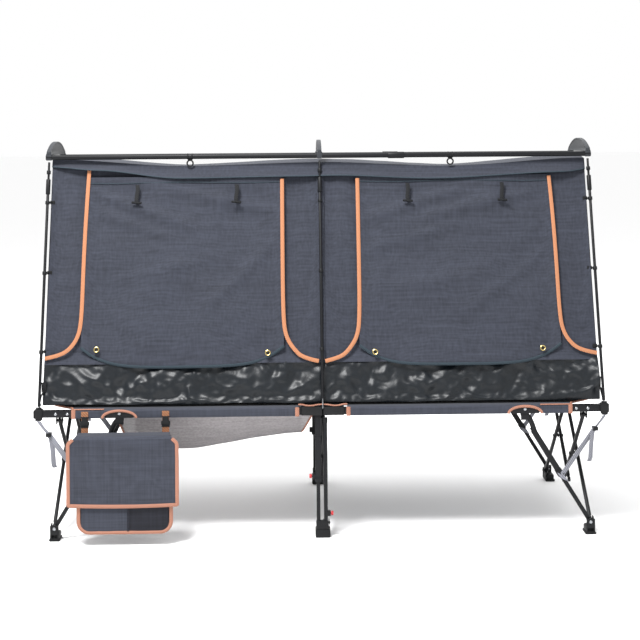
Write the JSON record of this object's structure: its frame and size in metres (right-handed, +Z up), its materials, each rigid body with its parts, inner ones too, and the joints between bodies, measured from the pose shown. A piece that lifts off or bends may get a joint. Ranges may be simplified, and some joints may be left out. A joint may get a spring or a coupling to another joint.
{
  "type": "folding camp bed with tent",
  "caption": "Folding camp bed on scissor legs with telescoping struts, a canvas tent hung inside folding hoops, a gear sling and a hanging storage bag.",
  "frame": {"origin": "on the floor under the middle of the whole object's box", "axes": "+X along the bed, -Y the front long side with the doors and the bag, +Z up"},
  "size_m": [2.114, 0.9284, 1.464],
  "materials": {
    "frame_metal": "satin black powder coat on steel tube",
    "black_plastic": "moulded nylon",
    "canvas": "coated grey canvas",
    "crown_cap": "dark grey moulded plate",
    "mesh": "light grey mesh",
    "webbing": "tan webbing",
    "button": "red plastic"
  },
  "bodies": {
    "front_side": {"front_rail_left": "frame_metal", "front_rail_right": "frame_metal", "front_centre_joint": "black_plastic", "front_centre_sleeve": "frame_metal", "bed_deck": "canvas", "gear_sling": "mesh", "bag_body": "canvas", "bag_strap_left": "webbing", "bag_strap_right": "webbing"},
    "back_side": {"back_rail_left": "frame_metal", "back_rail_right": "frame_metal", "back_centre_joint": "black_plastic", "back_centre_sleeve": "frame_metal"},
    "front_down_links": {"front_down_link_left": "frame_metal", "front_down_link_centre": "frame_metal", "front_down_link_right": "frame_metal"},
    "back_down_links": {"back_down_link_left": "frame_metal", "back_down_link_centre": "frame_metal", "back_down_link_right": "frame_metal"},
    "front_up_links": {"front_up_link_left": "frame_metal", "front_up_link_centre": "frame_metal", "front_up_link_right": "frame_metal"},
    "back_up_links": {"back_up_link_left": "frame_metal", "back_up_link_centre": "frame_metal", "back_up_link_right": "frame_metal"},
    "front_feet": {"front_foot_left": "black_plastic", "front_foot_right": "black_plastic", "front_centre_leg": "frame_metal"},
    "back_feet": {"back_foot_left": "black_plastic", "back_foot_right": "black_plastic", "back_centre_leg": "frame_metal"},
    "front_hoop_legs": {"front_hoop_leg_left": "frame_metal", "front_hoop_leg_centre": "frame_metal", "front_hoop_leg_right": "frame_metal", "tent_front_wall": "canvas"},
    "back_hoop_legs": {"back_hoop_leg_left": "frame_metal", "back_hoop_leg_centre": "frame_metal", "back_hoop_leg_right": "frame_metal", "tent_back_wall": "canvas"},
    "top_frame": {"crown_left": "crown_cap", "crown_centre": "crown_cap", "crown_right": "crown_cap", "front_shoulder_pole": "frame_metal", "back_shoulder_pole": "frame_metal", "tent_roof": "canvas", "tent_end_wall_left": "canvas", "tent_end_wall_right": "canvas"},
    "door_left": {"tent_door_left": "canvas"},
    "door_right": {"tent_door_right": "canvas"},
    "bag_lid": {"bag_flap": "canvas"},
    "sleeve_button": {"sleeve_button": "button"},
    "leg_button": {"leg_button": "button"},
    "front_strut_sleeve_left": {"front_strut_sleeve_left": "frame_metal"},
    "front_strut_tube_left": {"front_strut_tube_left": "frame_metal"},
    "front_strut_sleeve_right": {"front_strut_sleeve_right": "frame_metal"},
    "front_strut_tube_right": {"front_strut_tube_right": "frame_metal"},
    "back_strut_sleeve_left": {"back_strut_sleeve_left": "frame_metal"},
    "back_strut_tube_left": {"back_strut_tube_left": "frame_metal"},
    "back_strut_sleeve_right": {"back_strut_sleeve_right": "frame_metal"},
    "back_strut_tube_right": {"back_strut_tube_right": "frame_metal"}
  },
  "joints": [
    {"name": "width_fold", "type": "hinge", "parent": "front_side", "child": "front_down_links", "pos_m": [0, -0.34775, 0.436], "axis": [-1, 0, 0], "range_deg": [0, 42.15], "deforming": ["bed_deck", "gear_sling", "tent_end_wall_left", "tent_end_wall_right"]},
    {"name": "low_vertex", "type": "hinge", "parent": "front_down_links", "child": "back_down_links", "pos_m": [0, 0.03725, 0.1], "axis": [-1, 0, 0], "range_deg": [-84.49, 0]},
    {"name": "back_rail_pivot", "type": "hinge", "parent": "back_down_links", "child": "back_side", "pos_m": [0, 0.42225, 0.436], "axis": [-1, 0, 0], "range_deg": [0, 42.35]},
    {"name": "front_scissor_pivot", "type": "hinge", "parent": "front_down_links", "child": "front_up_links", "pos_m": [0, -0.12431, 0.241], "axis": [-1, 0, 0], "range_deg": [-84.49, 0]},
    {"name": "high_apex", "type": "hinge", "parent": "front_up_links", "child": "back_up_links", "pos_m": [0, 0.03725, 0.382], "axis": [-1, 0, 0], "range_deg": [0, 84.49]},
    {"name": "front_foot_pivot", "type": "hinge", "parent": "front_up_links", "child": "front_feet", "pos_m": [0, -0.34775, 0.046], "axis": [-1, 0, 0], "range_deg": [0, 42.35]},
    {"name": "back_foot_pivot", "type": "hinge", "parent": "back_up_links", "child": "back_feet", "pos_m": [0, 0.42225, 0.046], "axis": [-1, 0, 0], "range_deg": [-42.35, 0]},
    {"name": "front_strut_pivot_left", "type": "hinge", "parent": "front_side", "child": "front_strut_sleeve_left", "pos_m": [-0.745, -0.37275, 0.436], "axis": [0, -1, 0], "range_deg": [0, 9.49]},
    {"name": "front_strut_slide_left", "type": "slide", "parent": "front_strut_sleeve_left", "child": "front_strut_tube_left", "axis": [-0.5241, 0, -0.8517], "range_m": [0, 0.1786]},
    {"name": "front_strut_pivot_right", "type": "hinge", "parent": "front_side", "child": "front_strut_sleeve_right", "pos_m": [0.745, -0.37275, 0.436], "axis": [0, 1, 0], "range_deg": [0, 9.49]},
    {"name": "front_strut_slide_right", "type": "slide", "parent": "front_strut_sleeve_right", "child": "front_strut_tube_right", "axis": [0.5241, 0, -0.8517], "range_m": [0, 0.1786]},
    {"name": "back_strut_pivot_left", "type": "hinge", "parent": "back_side", "child": "back_strut_sleeve_left", "pos_m": [-0.745, 0.44725, 0.436], "axis": [0, -1, 0], "range_deg": [0, 9.49]},
    {"name": "back_strut_slide_left", "type": "slide", "parent": "back_strut_sleeve_left", "child": "back_strut_tube_left", "axis": [-0.5241, 0, -0.8517], "range_m": [0, 0.1786]},
    {"name": "back_strut_pivot_right", "type": "hinge", "parent": "back_side", "child": "back_strut_sleeve_right", "pos_m": [0.745, 0.44725, 0.436], "axis": [0, 1, 0], "range_deg": [0, 9.49]},
    {"name": "back_strut_slide_right", "type": "slide", "parent": "back_strut_sleeve_right", "child": "back_strut_tube_right", "axis": [0.5241, 0, -0.8517], "range_m": [0, 0.1786]},
    {"name": "front_hoop_pivot", "type": "hinge", "parent": "front_side", "child": "front_hoop_legs", "pos_m": [0, -0.37275, 0.49], "axis": [1, 0, 0], "range_deg": [0, 20.29]},
    {"name": "front_shoulder", "type": "hinge", "parent": "front_hoop_legs", "child": "top_frame", "pos_m": [0, -0.12275, 1.385], "axis": [-1, 0, 0], "range_deg": [0, 20.29]},
    {"name": "back_shoulder", "type": "hinge", "parent": "top_frame", "child": "back_hoop_legs", "pos_m": [0, 0.19725, 1.385], "axis": [-1, 0, 0], "range_deg": [0, 20.29]},
    {"name": "door_left_lift", "type": "hinge", "parent": "front_hoop_legs", "child": "door_left", "pos_m": [-0.5, -0.12105, 1.322], "axis": [-1, 0, 0], "range_deg": [0, 90]},
    {"name": "door_right_lift", "type": "hinge", "parent": "front_hoop_legs", "child": "door_right", "pos_m": [0.5, -0.12105, 1.322], "axis": [-1, 0, 0], "range_deg": [0, 90]},
    {"name": "bag_flap_hinge", "type": "hinge", "parent": "front_side", "child": "bag_lid", "pos_m": [-0.725, -0.40475, 0.398], "axis": [-1, 0, 0], "range_deg": [0, 85]},
    {"name": "sleeve_button_push", "type": "slide", "parent": "front_side", "child": "sleeve_button", "axis": [1, 0, 0], "range_m": [0, 0.003], "stiffness_N_per_m": 250, "springref_m": -0.002},
    {"name": "leg_button_push", "type": "slide", "parent": "front_feet", "child": "leg_button", "axis": [-1, 0, 0], "range_m": [0, 0.003], "stiffness_N_per_m": 250, "springref_m": -0.002}
  ],
  "couplings": [
    {"joint": "low_vertex", "follows": "width_fold", "ratio": -2},
    {"joint": "back_rail_pivot", "follows": "width_fold", "ratio": 1},
    {"joint": "front_scissor_pivot", "follows": "width_fold", "ratio": -2},
    {"joint": "high_apex", "follows": "width_fold", "ratio": 2},
    {"joint": "front_foot_pivot", "follows": "width_fold", "ratio": 1},
    {"joint": "back_foot_pivot", "follows": "width_fold", "ratio": -1},
    {"joint": "front_strut_pivot_left", "follows": "width_fold", "ratio": 0.22396},
    {"joint": "front_strut_slide_left", "follows": "width_fold", "m_per_rad": 0.24214},
    {"joint": "front_strut_pivot_right", "follows": "width_fold", "ratio": 0.22396},
    {"joint": "front_strut_slide_right", "follows": "width_fold", "m_per_rad": 0.24214},
    {"joint": "back_strut_pivot_left", "follows": "width_fold", "ratio": 0.22396},
    {"joint": "back_strut_slide_left", "follows": "width_fold", "m_per_rad": 0.24214},
    {"joint": "back_strut_pivot_right", "follows": "width_fold", "ratio": 0.22396},
    {"joint": "back_strut_slide_right", "follows": "width_fold", "m_per_rad": 0.24214},
    {"joint": "front_hoop_pivot", "follows": "width_fold", "ratio": 0.48015},
    {"joint": "front_shoulder", "follows": "width_fold", "ratio": 0.48015},
    {"joint": "back_shoulder", "follows": "width_fold", "ratio": 0.48015}
  ]
}
